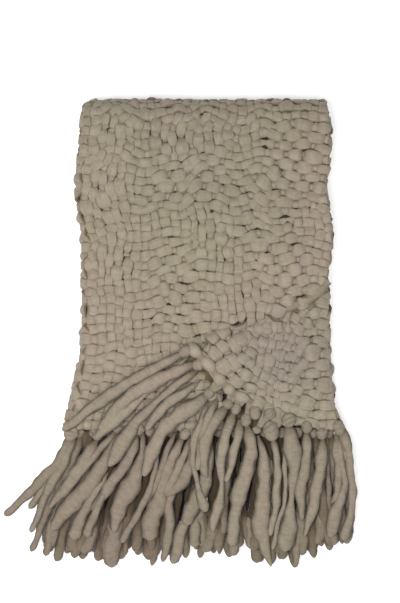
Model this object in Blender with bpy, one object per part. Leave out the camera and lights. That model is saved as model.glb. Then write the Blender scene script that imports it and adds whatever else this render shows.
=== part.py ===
"""A chunky woven throw, folded in three along its length and once across, with a knotted fringe.

The cloth is one sheet. Seen from above, its top panel is folded in from the left and its inner panel
from the right, and the inner panel's corner is drawn out over the top panel as a turned-up flap. The
whole is then folded double, away from the fringe, so that six plies lie on the floor.

X runs across the throw, Y from the fringe to the fold at the far end, Z up. Metres.
"""

import math
import random
from collections import namedtuple

import bmesh
import bpy
import numpy as np
from mathutils import Vector

# Driving dimensions
PLY = 0.013  # thickness of the cloth
STEP = 0.015  # height from one ply to the next
LENGTH = 0.556  # from the hem to the far fold
TOP_FALL = 0.120  # run in which the top panel comes down from the edge of what lies under it
FLAP_FALL = 0.070  # the same for the flap
SEAM_GAP = 0.005  # between the flap's edge and the top panel's where they lie side by side
BACK_INSET = 0.006  # how far the back half stands in from the front's outline
INSET_RUN = 0.33  # share of the back half in which it comes in
BACK_SPREAD = 1.08  # how much wider the back hem is than the far fold
FOLD_DRAW = 0.988  # how much narrower the far fold is at its bend

STRIP_GAP = 0.0008  # between a hem and its knotted strip
STRIP = 0.008  # depth and height of the strip
STRAND_WIDTH = 0.012
STRAND_HEIGHT = 0.008
ROOT_WIDTH = 0.0084  # of a strand where it leaves the strip
PAIR_SPACING = 0.0146  # between the two strands of a tassel
WIDEST_PAIR = 1.35  # most that the spacing grows along the hem where a tassel lies aslant to it
PAIR_SPLAY = 0.4  # degrees that each strand of a tassel leans away from its fellow
END_TRIM = 0.003  # from the end of a hem to the end of its strip
END_MARGIN = 0.001  # from the end of a strip to its outermost strand
SETTLING = 0.160  # how far past the hem the strands have settled onto each other
SETTLED_STEP = 0.011  # height from one layer of settled strands to the next

BOTTOM_LEVEL = 0.5 * STEP  # heights of the plies above the axis of the far fold
MIDDLE_LEVEL = 1.5 * STEP
TOP_LEVEL = 2.5 * STEP
AXIS_Z = TOP_LEVEL + PLY / 2
AXIS_Y = LENGTH - AXIS_Z

# Rows and columns of the cloth's surface
UNDER_ROWS = 5  # along the top panel's edge, where it lies under the flap
SEAM_ROWS = 7  # along the seam
FLAP_ROWS = UNDER_ROWS + SEAM_ROWS
FAR_ROWS = 8  # from the seam's end to the far fold
NECK_ROWS = 3  # of those, in which the inner panel's columns straighten out past the seam
TURN_ROWS = 8  # round the far fold
BACK_ROWS = 8  # from the far fold to the back hem
TOP_COLUMNS = 16
INNER_COLUMNS = 15
MIDDLE_COLUMNS = 7
FOLD_COLUMNS = 3
EDGE_PULL = 3  # how soon a column leaves the shape of the edge beside it: higher is sooner

# The outline seen from above, from the hem up
Edge = namedtuple("Edge", "up left right")
OUTLINE = [
    Edge(0.000, -0.240, 0.233),
    Edge(0.042, -0.231, 0.217),
    Edge(0.084, -0.220, 0.210),
    Edge(0.134, -0.210, 0.205),
    Edge(0.199, -0.209, 0.211),
    Edge(0.259, -0.210, 0.207),
    Edge(0.317, -0.210, 0.216),
    Edge(0.376, -0.218, 0.209),
    Edge(0.409, -0.220, 0.202),
    Edge(0.434, -0.218, 0.208),
    Edge(0.484, -0.213, 0.212),
    Edge(0.534, -0.208, 0.207),
    Edge(0.556, -0.204, 0.205),
]

# Plan points of the front, as (across, up)
SEAM = [  # the top panel's lower edge, from the right-hand fold down to the flap's corner
    (0.205, 0.246),
    (0.188, 0.226),
    (0.163, 0.210),
    (0.128, 0.199),
    (0.100, 0.190),
    (0.074, 0.180),
    (0.041, 0.165),
    (0.018, 0.154),
    (0.000, 0.144),
]
SPLIT = 3  # seam point up to which the inner panel lies under the top one, and not beside it
UNDER_FLAP = [(-0.0125, 0.000), (-0.008, 0.045), (-0.005, 0.090), (-0.002, 0.124), SEAM[-1]]
FLAP_HEM = [  # from the flap's corner to the right-hand fold
    (-0.026, 0.130),
    (-0.014, 0.120),
    (-0.001, 0.107),
    (0.019, 0.084),
    (0.044, 0.059),
    (0.074, 0.043),
    (0.099, 0.033),
    (0.124, 0.017),
    (0.158, 0.008),
    (0.192, 0.002),
]
INNER_EDGE_TOP = (-0.185, AXIS_Y)  # where the inner panel's hidden edge reaches the far fold
FAR_RIGHT = 0.230  # a place past the right-hand fold

# Where one panel lies on another
TOP_ON_INNER = SEAM[SPLIT::-1] + [
    (FAR_RIGHT, SEAM[0][1]),
    (FAR_RIGHT, LENGTH),
    (INNER_EDGE_TOP[0], LENGTH),
    INNER_EDGE_TOP,
]
FLAP_ON_TOP = [SEAM[-1]] + FLAP_HEM[:3] + [UNDER_FLAP[-2]]

# Swellings of the flap above its level: its dome, and a soft roll beside its fold
Swell = namedtuple("Swell", "across up half_width half_length height")
FLAP_SWELLS = [
    Swell(0.068, 0.106, 0.062, 0.066, 0.014),
    Swell(0.180, 0.090, 0.024, 0.090, 0.004),
]

# Tassels: place from the first to the last on a hem, lean of the strands at the knot and at the tip
# in degrees to the left of straight down, and their length
Tassel = namedtuple("Tassel", "place knot_lean tip_lean length")
FLAP_TASSELS = [
    Tassel(0.000, 63, 52, 0.236),
    Tassel(0.100, 59, 40, 0.214),
    Tassel(0.205, 44, 24, 0.205),
    Tassel(0.315, 28, 8, 0.196),
    Tassel(0.420, 12, 8, 0.205),
    Tassel(0.530, 2, 7, 0.214),
    Tassel(0.645, -4, 5, 0.222),
    Tassel(0.760, -6, 4, 0.207),
    Tassel(0.880, -8, 4, 0.196),
    Tassel(1.000, -12, -3, 0.200),
]
TOP_TASSELS = [
    Tassel(0.000, 27, 46, 0.196),
    Tassel(0.200, 32, 36, 0.190),
    Tassel(0.400, 31, 31, 0.214),
    Tassel(0.600, 23, 28, 0.186),
    Tassel(0.800, 18, 20, 0.192),
    Tassel(1.000, 14, 18, 0.214),
]
LOWER_TASSELS = 12  # along the hem of each lower ply

# The stretches of fringe, from the floor up: the panel and half they hang on, the lean of the first
# and the last strand, their length, and the seed of their unevenness
Stretch = namedtuple("Stretch", "name panel front left_lean right_lean length seed")
STRETCHES = [
    Stretch("fringe_outer_back", "top", False, 12, -6, 0.212, 6),
    Stretch("fringe_inner_back", "inner", False, 17, -4, 0.221, 5),
    Stretch("fringe_middle_back", "middle", False, 14, -8, 0.226, 4),
    Stretch("fringe_middle_front", "middle", True, 19, -8, 0.218, 3),
    Stretch("fringe_top_front", "top", True, None, None, None, 7),
    Stretch("fringe_flap", "inner", True, None, None, None, 8),
]
TOP_LAYER = 4  # of the strands on the top panel's hem, counted from the floor
FLAP_LAYER = 5
CROSSING = (0.015, 0.075)  # across: the flap's strands lie on the top panel's up to the first place
STRAND_STEPS = 6
RISE_STEPS = 1.5  # of them, in which a strand comes from its root's height to where it lies
BULGE = 0.22  # half-length of a strand's thick place, as a share of the strand
THICK_PLACE = (0.25, 0.9)  # the range it falls in along the strand
THIN_WIDTH = (0.55, 0.8)  # the range of the width elsewhere, as a share of the full width
TIP_WIDTH = 0.6  # of a strand at its very tip, as a share of its width there
SHORTEST = 0.94  # of the strands of a tassel, as a share of the tassel's length
CURL = 3  # degrees that a lower strand turns from its knot to its tip

WOOL = (0.33, 0.28, 0.215)
WOOL_ROUGHNESS = 0.95


def smooth(share):
    """A soft step from 0 to 1."""
    share = min(max(share, 0.0), 1.0)
    return share * share * (3 - 2 * share)


def between(first, last, share):
    """The point at a share of the straight way from one to another."""
    return np.array(first, float) + (np.array(last, float) - first) * share


def on_line(points, share):
    """The point at a share of a line's length, with whatever else its rows hold past x, y and z."""
    points = np.array(points, float)
    pieces = np.linalg.norm(np.diff(points[:, :3], axis=0), axis=1)
    reach = np.concatenate([[0], np.cumsum(pieces)])
    return np.array([np.interp(share * reach[-1], reach, column) for column in points.T])


def outline(up):
    """The outline's left and right edges at one height of the plan."""
    rows = np.array(OUTLINE)
    return np.interp(up, rows[:, 0], rows[:, 1]), np.interp(up, rows[:, 0], rows[:, 2])


def distance_outside(point, polygon):
    """How far a plan point lies outside a polygon, or 0 inside it."""
    x, y = point
    inside, nearest = False, math.inf
    for (ax, ay), (bx, by) in zip(polygon, polygon[1:] + polygon[:1]):
        if (ay > y) != (by > y) and x < ax + (y - ay) * (bx - ax) / (by - ay):
            inside = not inside
        run, rise = bx - ax, by - ay
        share = ((x - ax) * run + (y - ay) * rise) / (run * run + rise * rise)
        share = min(max(share, 0.0), 1.0)
        nearest = min(nearest, math.hypot(x - ax - share * run, y - ay - share * rise))
    return 0.0 if inside else nearest


def swell(across, up):
    """The height that the flap's swellings add at a plan point."""
    height = 0.0
    for one in FLAP_SWELLS:
        away = math.hypot((across - one.across) / one.half_width, (up - one.up) / one.half_length)
        height += one.height * max(0.0, 1 - away * away) ** 2
    return height


def top_level(across, up):
    """Height of the top panel above the axis."""
    away = distance_outside((across, up), TOP_ON_INNER)
    return MIDDLE_LEVEL + STEP * (1 - smooth(away / TOP_FALL))


def inner_level(across, up):
    """Height of the inner panel and its flap above the axis."""
    away = distance_outside((across, up), FLAP_ON_TOP)
    return MIDDLE_LEVEL + STEP * (1 - smooth(away / FLAP_FALL)) + swell(across, up)


def left_fold(up):
    """Across of the left-hand fold's centre."""
    edge = outline(up)[0]
    return edge + (top_level(edge + PLY, up) - BOTTOM_LEVEL + PLY) / 2


def right_fold(up):
    """Across of the right-hand fold's centre."""
    return outline(up)[1] - (MIDDLE_LEVEL - BOTTOM_LEVEL + PLY) / 2


def top_panel():
    """The top panel's columns, from its free edge on the right to the left-hand fold."""
    edge = [on_line(UNDER_FLAP, row / UNDER_ROWS) for row in range(UNDER_ROWS)]
    edge += [on_line(SEAM[::-1], row / SEAM_ROWS) for row in range(SEAM_ROWS)]
    for up in np.linspace(SEAM[0][1], AXIS_Y, FAR_ROWS + 1):
        edge.append(np.array([outline(up)[1] - PLY / 4, up]))
    ups = np.linspace(0, AXIS_Y, len(edge))
    columns = []
    for place in np.linspace(0, 1, TOP_COLUMNS):
        column = [between(near, (left_fold(up), up), place) for near, up in zip(edge, ups)]
        columns.append([(across, up, top_level(across, up)) for across, up in column])
    return columns


def inner_panel():
    """The inner panel's columns, from the right-hand fold to its free edge, with the flap."""
    hem = [(right_fold(0), 0.0)] + FLAP_HEM[::-1]
    neck = [(right_fold(SEAM[0][1]), SEAM[0][1])] + SEAM[1 : SPLIT + 1]
    beside = [(x + SEAM_GAP / 2, y - SEAM_GAP) for x, y in SEAM[: SPLIT - 1 : -1]]
    free_edge = [FLAP_HEM[0]] + beside
    free_shifts, fold_shifts = [], []
    for share in np.linspace(0, 1, FLAP_ROWS, endpoint=False):
        free_shifts.append(on_line(free_edge, share) - between(free_edge[0], free_edge[-1], share))
        chord = between(hem[0], neck[0], share)
        fold_shifts.append(np.array([right_fold(chord[1]) - chord[0], 0]))
    columns = []
    for place in np.linspace(0, 1, INNER_COLUMNS):
        foot, waist = on_line(hem, place), on_line(neck, place)
        waist = waist + (np.array(beside[-1]) - neck[-1]) * place
        column = []
        for row in range(FLAP_ROWS):
            shift = free_shifts[row] * place**EDGE_PULL + fold_shifts[row] * (1 - place) ** EDGE_PULL
            column.append(between(foot, waist, row / FLAP_ROWS) + shift)
        for share in np.linspace(0, 1, FAR_ROWS + 1):
            up = waist[1] + (AXIS_Y - waist[1]) * share
            hidden_edge = between(beside[-1], INNER_EDGE_TOP, share)[0]
            across = right_fold(up) + (hidden_edge - right_fold(up)) * place
            column.append(between(waist, (across, up), smooth(share * FAR_ROWS / NECK_ROWS)))
        columns.append([(across, up, inner_level(across, up)) for across, up in column])
    return columns


def half_turns(upper, lower, outward):
    """Columns round a lengthwise fold, from the upper ply to the lower."""
    columns = []
    for turn in np.linspace(0, math.pi, FOLD_COLUMNS + 2)[1:-1]:
        column = []
        for high, low in zip(upper, lower):
            radius = (high[2] - low[2]) / 2
            bulge = np.array([outward * math.sin(turn), 0, math.cos(turn)]) * radius
            column.append(between(high, low, 0.5) + bulge)
        columns.append(column)
    return columns


def front_half():
    """The front half's columns, from the top panel's free edge to the inner panel's, and their names."""
    top, inner = top_panel(), inner_panel()
    left = [(across, up, BOTTOM_LEVEL) for across, up, level in top[-1]]
    right = [(across, up, BOTTOM_LEVEL) for across, up, level in inner[0]]
    middle = [
        [between(a, b, share) for a, b in zip(left, right)]
        for share in np.linspace(0, 1, MIDDLE_COLUMNS)
    ]
    left_turn, right_turn = half_turns(top[-1], left, -1), half_turns(inner[0], right, 1)[::-1]
    fold = ["fold"] * FOLD_COLUMNS
    names = ["top"] * len(top) + fold + ["middle"] * MIDDLE_COLUMNS + fold + ["inner"] * len(inner)
    return top + left_turn + middle + right_turn + inner, names


def cloth_surface():
    """The cloth's middle surface as a grid of points, a row for each step of the way from the front
    hem over the far fold to the back hem, and the name of each column's panel."""
    columns, names = front_half()
    front = np.array(columns, float).transpose(1, 0, 2)
    across, level = front[-1, :, 0], front[-1, :, 2]
    rows = [row + (0, 0, AXIS_Z) for row in front]
    for turn in np.linspace(0, math.pi, TURN_ROWS + 1)[1:-1]:
        drawn = 1 + (FOLD_DRAW - 1) * math.sin(turn)
        ups, heights = AXIS_Y + level * math.sin(turn), AXIS_Z + level * math.cos(turn)
        rows.append(np.column_stack([across * drawn, ups, heights]))
    for share in np.linspace(0, 1, BACK_ROWS + 1):
        inset = 1 - BACK_INSET / OUTLINE[-1].right * smooth(share / INSET_RUN)
        spread = 1 + (BACK_SPREAD - 1) * smooth(share * share)
        ups = np.full(len(across), AXIS_Y * (1 - share))
        rows.append(np.column_stack([across * inset * spread, ups, AXIS_Z - level]))
    return np.array(rows), names


def unit(vectors):
    """Vectors brought to length 1."""
    return vectors / np.linalg.norm(vectors, axis=-1, keepdims=True)


def surface_normals(grid):
    """Unit normals of a grid of points, towards the outside of the folds."""
    along, across = np.gradient(grid, axis=0), np.gradient(grid, axis=1)
    return unit(np.cross(unit(along), unit(across)))


def closed_piece(name, points, faces, material):
    """An object of a closed mesh, its faces turned to point out."""
    mesh = bpy.data.meshes.new(name)
    mesh.from_pydata([Vector(point) for point in points], [], faces)
    mesh.materials.append(material)
    work = bmesh.new()
    work.from_mesh(mesh)
    bmesh.ops.recalc_face_normals(work, faces=work.faces)
    work.to_mesh(mesh)
    work.free()
    piece = bpy.data.objects.new(name, mesh)
    bpy.context.collection.objects.link(piece)
    return piece


def cloth(grid, normals, material):
    """The cloth: its middle surface thickened to both sides and closed along its four edges."""
    rows, columns = grid.shape[:2]
    sides = [(grid + normals * PLY / 2).reshape(-1, 3), (grid - normals * PLY / 2).reshape(-1, 3)]
    under = rows * columns
    faces = []
    for r in range(rows - 1):
        for a in range(r * columns, (r + 1) * columns - 1):
            b, c, d = a + 1, a + columns + 1, a + columns
            faces += [(a, b, c, d), (under + d, under + c, under + b, under + a)]
    rim = list(range(columns))
    rim += [r * columns + columns - 1 for r in range(1, rows)]
    rim += [(rows - 1) * columns + c for c in range(columns - 2, -1, -1)]
    rim += [r * columns for r in range(rows - 2, 0, -1)]
    faces += [(b, a, under + a, under + b) for a, b in zip(rim, rim[1:] + rim[:1])]
    return closed_piece("throw", np.concatenate(sides), faces, material)


def hem_line(grid, normals, names, stretch):
    """A hem from left to right: a row of point, outward and upward direction for each column."""
    row, beside = (0, 1) if stretch.front else (-1, -2)
    picks = [c for c, name in enumerate(names) if name == stretch.panel]
    picks.sort(key=lambda c: grid[row][c][0])
    outward = unit(grid[row] - grid[beside])
    upward = normals[row] * np.sign(normals[row][:, 2:])
    return np.column_stack([grid[row][picks], outward[picks], upward[picks]])


def tassels_of(stretch):
    """The tassels of a stretch of fringe, from left to right."""
    if stretch.left_lean is None:
        return FLAP_TASSELS if stretch.panel == "inner" else TOP_TASSELS
    tassels = []
    for k in range(LOWER_TASSELS):
        place = k / (LOWER_TASSELS - 1)
        lean = stretch.left_lean + (stretch.right_lean - stretch.left_lean) * place
        tassels.append(Tassel(place, lean, lean - CURL, stretch.length))
    return tassels


def strand_height(across, up, layer):
    """Height above the floor of a strand's middle, once it lies on the floor or the layer below."""
    if layer == 0:
        return STRAND_HEIGHT / 2
    settled = smooth(-up / SETTLING)
    if layer == FLAP_LAYER:
        low, high = CROSSING
        layer = TOP_LAYER + smooth((high - across) / (high - low))
    lowest = PLY / 2 + (STRAND_HEIGHT / 2 - PLY / 2) * settled
    return lowest + layer * (STEP + (SETTLED_STEP - STEP) * settled)


def strand_path(root, tassel, side, length, layer):
    """Middles and leans of a strand from its root to its tip."""
    path, place = [], np.array(root, float)
    for k in range(STRAND_STEPS):
        share = (k + 0.5) / STRAND_STEPS
        turned = tassel.knot_lean + (tassel.tip_lean - tassel.knot_lean) * share - PAIR_SPLAY * side
        lean = math.radians(turned)
        place = place - np.array([math.sin(lean), math.cos(lean), 0]) * length / STRAND_STEPS
        level = strand_height(place[0], place[1], layer)
        reached = smooth((k + 1) / RISE_STEPS)
        path.append((np.array([place[0], place[1], root[2] + (level - root[2]) * reached]), lean))
    return path


def strand(points, faces, root_ring, path, thick_place, thin_share):
    """Adds one four-sided strand to a mesh, drawn out of a face of the strip."""
    ring = root_ring
    for step, (middle, lean) in enumerate(path):
        share = (step + 1) / len(path)
        bulge = math.exp(-(((share - thick_place) / BULGE) ** 2))
        width = STRAND_WIDTH * (thin_share + (1 - thin_share) * bulge)
        if step == len(path) - 1:
            width *= TIP_WIDTH
        aside = np.array([math.cos(lean), -math.sin(lean), 0]) * width / 2
        above = np.array([0, 0, STRAND_HEIGHT / 2])
        base = len(points)
        points += [middle - aside - above, middle + aside - above]
        points += [middle + aside + above, middle - aside + above]
        new = list(range(base, base + 4))
        faces += [(ring[k - 3], ring[k], new[k], new[k - 3]) for k in range(4)]
        ring = new
    faces.append(tuple(ring))


def strip_cuts(hem, roots):
    """Places along a hem where its strip has a cut: its ends and bends, and both sides of each root."""
    bends = np.concatenate([[0], np.cumsum(np.linalg.norm(np.diff(hem[:, :3], axis=0), axis=1))])
    reach = bends[-1]
    ends = [END_TRIM / reach, 1 - END_TRIM / reach]
    apart = END_MARGIN / reach
    kept = [
        bend
        for bend in bends / reach
        if ends[0] + apart < bend < ends[1] - apart
        and all(bend < low - apart or bend > high + apart for low, high in roots)
    ]
    return sorted(ends + kept + [side for root in roots for side in root])


def fringe(stretch, layer, hem, material):
    """One stretch of fringe: a knotted strip just off the hem, and two strands to each tassel."""
    draw = random.Random(stretch.seed)
    reach = np.linalg.norm(np.diff(hem[:, :3], axis=0), axis=1).sum()
    margin = END_TRIM + END_MARGIN + (PAIR_SPACING * WIDEST_PAIR + ROOT_WIDTH) / 2
    half_root = ROOT_WIDTH / 2 / reach
    roots, owners = [], []
    for tassel in tassels_of(stretch):
        middle = margin + tassel.place * (reach - 2 * margin)
        lean = math.radians((tassel.knot_lean + tassel.tip_lean) / 2)
        outward = on_line(hem, middle / reach)[3:6]
        slant = abs(outward[0] * math.sin(-lean) - outward[1] * math.cos(lean))
        for side in (-1, 1):
            place = (middle + side * PAIR_SPACING / 2 * min(1 / slant, WIDEST_PAIR)) / reach
            roots.append((place - half_root, place + half_root))
            owners.append((tassel, side))
    cuts = strip_cuts(hem, roots)
    starts = [cuts.index(root[0]) for root in roots]
    points, faces = [], []
    for cut in cuts:
        frame = on_line(hem, cut)
        place, outward, up = frame[:3], unit(frame[3:6]), unit(frame[6:9])
        for depth in (STRIP_GAP, STRIP_GAP + STRIP):
            points += [place + outward * depth + up * height for height in (-STRIP / 2, STRIP / 2)]
    for k in range(len(cuts) - 1):
        a, b = 4 * k, 4 * k + 4
        faces += [(a, b, b + 1, a + 1), (a, a + 2, b + 2, b), (a + 1, b + 1, b + 3, a + 3)]
        if k not in starts:
            faces.append((a + 2, a + 3, b + 3, b + 2))
    end = 4 * (len(cuts) - 1)
    faces += [(0, 1, 3, 2), (end, end + 2, end + 3, end + 1)]
    for (tassel, side), start in zip(owners, starts):
        a = 4 * start
        root_ring = [a + 2, a + 6, a + 7, a + 3]
        root = np.mean([points[k] for k in root_ring], axis=0)
        length = tassel.length * draw.uniform(SHORTEST, 1)
        path = strand_path(root, tassel, side, length, layer)
        strand(points, faces, root_ring, path, draw.uniform(*THICK_PLACE), draw.uniform(*THIN_WIDTH))
    return closed_piece(stretch.name, points, faces, material)


def wool():
    """Matte undyed wool."""
    material = bpy.data.materials.new("wool")
    material.use_nodes = True
    shader = material.node_tree.nodes["Principled BSDF"]
    shader.inputs["Base Color"].default_value = (*WOOL, 1)
    shader.inputs["Roughness"].default_value = WOOL_ROUGHNESS
    shader.inputs["Metallic"].default_value = 0.0
    return material


def centre_on_floor(pieces):
    """Puts the middle of the whole over the origin, and its foot at height 0."""
    points = np.array([vertex.co for piece in pieces for vertex in piece.data.vertices])
    low, high = points.min(axis=0), points.max(axis=0)
    middle = (low + high) / 2
    shift = Vector((-middle[0], -middle[1], -low[2]))
    for piece in pieces:
        for vertex in piece.data.vertices:
            vertex.co += shift


def main():
    for old in list(bpy.data.objects):
        bpy.data.objects.remove(old, do_unlink=True)
    material = wool()
    grid, names = cloth_surface()
    normals = surface_normals(grid)
    pieces = [cloth(grid, normals, material)]
    for layer, stretch in enumerate(STRETCHES):
        hem = hem_line(grid, normals, names, stretch)
        pieces.append(fringe(stretch, layer, hem, material))
    centre_on_floor(pieces)


main()
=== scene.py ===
"""The folded throw as it looks: thick-and-thin roving woven over and under, and a knotted fringe.

Plan places are in metres on the cloth's own plan: across to the right from the middle, up from the
front hem. plan() gives the place that a point of the 400 by 603 view shows.
"""

from math import atan2, cos, hypot, log, pi, radians, sin

import bmesh
import bpy
import numpy as np
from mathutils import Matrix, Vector


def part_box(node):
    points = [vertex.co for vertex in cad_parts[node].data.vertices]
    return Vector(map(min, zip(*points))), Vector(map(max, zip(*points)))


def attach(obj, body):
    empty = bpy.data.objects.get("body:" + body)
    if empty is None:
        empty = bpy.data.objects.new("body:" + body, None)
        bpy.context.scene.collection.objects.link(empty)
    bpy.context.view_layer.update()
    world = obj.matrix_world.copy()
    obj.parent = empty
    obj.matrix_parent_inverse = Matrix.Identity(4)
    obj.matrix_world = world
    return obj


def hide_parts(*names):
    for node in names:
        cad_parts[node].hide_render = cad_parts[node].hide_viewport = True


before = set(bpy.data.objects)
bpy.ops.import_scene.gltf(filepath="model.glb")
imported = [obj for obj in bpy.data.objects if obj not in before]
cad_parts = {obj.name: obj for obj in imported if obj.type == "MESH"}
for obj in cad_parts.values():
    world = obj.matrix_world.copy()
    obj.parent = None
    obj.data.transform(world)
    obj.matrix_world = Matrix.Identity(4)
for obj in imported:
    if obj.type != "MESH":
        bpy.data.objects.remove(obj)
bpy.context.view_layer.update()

# The cloth, as the solids have it
PLY, STEP = 0.013, 0.015  # thickness of a ply, and from one to the next
LENGTH = 0.556  # from the front hem to the far fold
TOP_FALL, FLAP_FALL = 0.120, 0.070  # run of the two upper panels down from what they lie on
BACK_INSET, INSET_RUN = 0.006, 0.33  # how far the back's sides stand in, past what share of it
BACK_SPREAD, FOLD_DRAW = 1.08, 0.988  # width of the back's hem and at the far fold, as shares
SETTLING, SETTLED_STEP = 0.160, 0.011  # the fringe settles over this length, down to this step
BOTTOM_LEVEL, MIDDLE_LEVEL, TOP_LEVEL = 0.5 * STEP, 1.5 * STEP, 2.5 * STEP
AXIS_Z = TOP_LEVEL + PLY / 2
AXIS_Y = LENGTH - AXIS_Z
THROW_RIGHT = 0.2325  # the solid throw's rightmost place on the plan

OUTLINE = np.array(  # from the hem up: up, left, right
    [
        (0.000, -0.240, 0.233), (0.042, -0.231, 0.217), (0.084, -0.220, 0.210), (0.134, -0.210, 0.205),
        (0.199, -0.209, 0.211), (0.259, -0.210, 0.207), (0.317, -0.210, 0.216), (0.376, -0.218, 0.209),
        (0.409, -0.220, 0.202), (0.434, -0.218, 0.208), (0.484, -0.213, 0.212), (0.534, -0.208, 0.207),
        (0.556, -0.204, 0.205),
    ]
)
LEFT, RIGHT = 1, 2
SEAM = [  # the top panel's edge on the flap, down from the right-hand fold
    (0.205, 0.246), (0.188, 0.226), (0.163, 0.210), (0.128, 0.199), (0.100, 0.190),
    (0.074, 0.180), (0.041, 0.165), (0.018, 0.154), (0.000, 0.144),
]
SPLIT = 3  # where on it the inner panel's hidden edge begins
FLAP_HEM = [  # from the flap's corner to the right
    (-0.026, 0.130), (-0.014, 0.120), (-0.001, 0.107), (0.019, 0.084), (0.044, 0.059),
    (0.074, 0.043), (0.099, 0.033), (0.124, 0.017), (0.158, 0.008), (0.192, 0.002),
]
UNDER_CORNER = (-0.002, 0.124)  # on the top panel, beneath the flap's corner
INNER_EDGE_TOP = (-0.185, AXIS_Y)
FAR_RIGHT, FAR_LEFT, FAR_DOWN = 0.230, -0.4, -0.3  # places past the cloth
# Areas of the plan
FAR_CORNERS = [(FAR_RIGHT, SEAM[0][1]), (FAR_RIGHT, LENGTH), (INNER_EDGE_TOP[0], LENGTH), INNER_EDGE_TOP]
TOP_ON_INNER = SEAM[SPLIT::-1] + FAR_CORNERS
FLAP_ON_TOP = [SEAM[-1]] + FLAP_HEM[:3] + [UNDER_CORNER]
FLAP = FLAP_HEM + [(FLAP_HEM[-1][0], FLAP_HEM[0][1])]
BESIDE = [(x - 0.001, y + 0.001) for x, y in SEAM[: SPLIT - 1 : -1]]
BENEATH = [(0.010, 0.124), (0.020, 0.090), (0.026, 0.045), (0.026, FAR_DOWN)]
NOT_TOP = [(FAR_RIGHT, SEAM[0][1])] + SEAM + BENEATH + [(FAR_RIGHT, FAR_DOWN)]
NOT_INNER = [FLAP_HEM[0]] + BESIDE + [INNER_EDGE_TOP, (FAR_LEFT, AXIS_Y), (FAR_LEFT, FLAP_HEM[0][1])]
# The flap's swellings: across, up, half width, half length, height
FLAP_SWELLS = [(0.068, 0.106, 0.062, 0.066, 0.014), (0.180, 0.090, 0.024, 0.090, 0.004)]
# How far the flap's warps lean to the right going up, in degrees, by their place on the hem
FLAP_LEAN = [(0.00, 0), (0.08, 2), (0.14, 10), (0.20, 16), (0.26, 22), (0.30, 30)]
FLAP_PULL = 0.12  # how far along the hem the flap still follows the right-hand fold
ROLL_FROM = 0.03  # from where along the hem the inner panel's edge is rolled
HIDDEN_WIDTH = 0.93  # of the back's hidden hems, as a share of the back's

# The weave
PITCH = 0.0159  # from yarn to yarn
PANEL = 0.415  # across the top panel, from its free edge to the fold
FLAP_RUN = 0.300  # along the flap's hem
FOLD_RUN, INNER_FOLD_RUN = 0.048, 0.026  # how far yarns go on round the side folds
RISE = 0.0034  # of a yarn over the one it crosses
YARN, THINNEST = 0.0038, 0.0022  # half the height of a usual yarn, and half the width of the thinnest
SLUB, SLUB_SPANS = 0.46, (0.231, 0.137, 0.083, 0.051)  # how uneven the roving is, over what lengths
SHIFTED = 0.0005  # a crossing from its even place
LOOSE = 0.42  # how far uneven yarns may push the ones past them aside
NEAR = 1.6  # how many yarns to each side make up for a thick one
LIFT = 0.0015  # of the stronger set of yarns where one outdoes the other
LONGER, PLUMP, LEANER = 2.0, 0.24, 0.44  # and how much longer and wider its floats are, the others leaner
LUMPY = 0.09  # how uneven one yarn's crossings are
BULGE, BULGE_AT = 0.0010, 0.10  # how far a crossing stands out that is this much wider
UNEVEN = 0.09  # how unevenly either set outdoes the other
ACROSS = 0.12  # how much the yarns that run across outdo the others everywhere
SLANT, SLANT_LEAST = 0.0016, 0.3  # how far floats turn from their yarn's way, and the least share of it
END_DIP, END_WIDTH = -0.6, 0.7  # how far a yarn's ends dive, and their width, as shares
WARP_FOLD_WIDER, WEFT_FOLD_WIDER, FOLD_REACH = 0.30, 0.12, 0.014  # yarns by a side fold, from how far
SQUARE = 0.8  # below 1, a yarn's section is squarer than an ellipse
STEPS, SIDES = 5, 8  # points of a yarn to a crossing, and of its section
PATCH_ROOM, FLAP_PATCH_ROOM = 0.4, 1.0  # how far a patch's wider yarns push the others aside
ROLL, INNER_ROLL = 0.0065, 0.0045  # radii of the two upper panels' rolled edges
CORE, SHARPEST = 0.003, 1.8  # thickness of the dark sheet in the cloth, whose colour is painted shade, how much more its corners draw in
# The yarn in the top panel's edge: half its width, its lumps, aside from the seam, up from the panel's
# middle, and how far it sinks past which share of its length
EDGE_YARN, EDGE_LUMPS, EDGE_ASIDE = 0.0072, 4.5, (-0.0015, 0.0035)
EDGE_LIFT, EDGE_SINK, EDGE_SINKS_AT = 0.0010, 0.010, 0.60
# The rope of the flap's hem: half its width, from lump to lump, its run along the hem, in from it and up
ROPE, ROPE_LUMP, ROPE_RUN, ROPE_IN, ROPE_OUT = 0.0092, 0.029, (0.150, 0.304), 0.0065, 0.0048
SEAM_YARN = (0.008, 0.005)  # the one laid in the seam's lower end: half its width and height
END_HALF = 0.0015  # half the width that these run out to
# How far crossings are kept past the edges of the two panels, in beneath the top one, and from the
# right-hand fold
TOP_PAST, INNER_PAST, UNDER_SEAM, BY_FOLD = 1.25 * ROLL, 0.7 * INNER_ROLL, 0.032, 0.045
# Painted shade in the wool's colour, as how light it is left: where a yarn dives, beneath the flap's hem
# and the top panel's edge, in clefts
DIP_SHADE, HEM_SHADE, SEAM_SHADE = 0.70, 0.22, 0.55
HEM_REACH, HEM_TOP, HEM_FADE = 0.024, 0.118, 0.012  # how far from the hem, up to where, and its run out
SEAM_REACH, SEAM_LEFT, SEAM_FADE = 0.012, 0.118, 0.03  # and from the edge
SIDE_SHADE, FLAP_SIDE_SHADE, STRAND_SHADE, LOWER_SHADE = 0.46, 0.22, 0.11, 0.42
SIDE_SOFT, STRAND_SOFT = 0.6, 0.8  # how gently it darkens
UP = np.array([0.0, 0.0, 1.0])

# Small dark openings of the front, in the view, and how much narrower its yarns are there
GAPS = [(211, 210), (265, 144), (106, 224), (239, 321), (128, 255), (258, 228), (287, 218), (153, 321)]
GAP_NARROWS, GAP_REACH = 0.62, 0.0068
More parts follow.
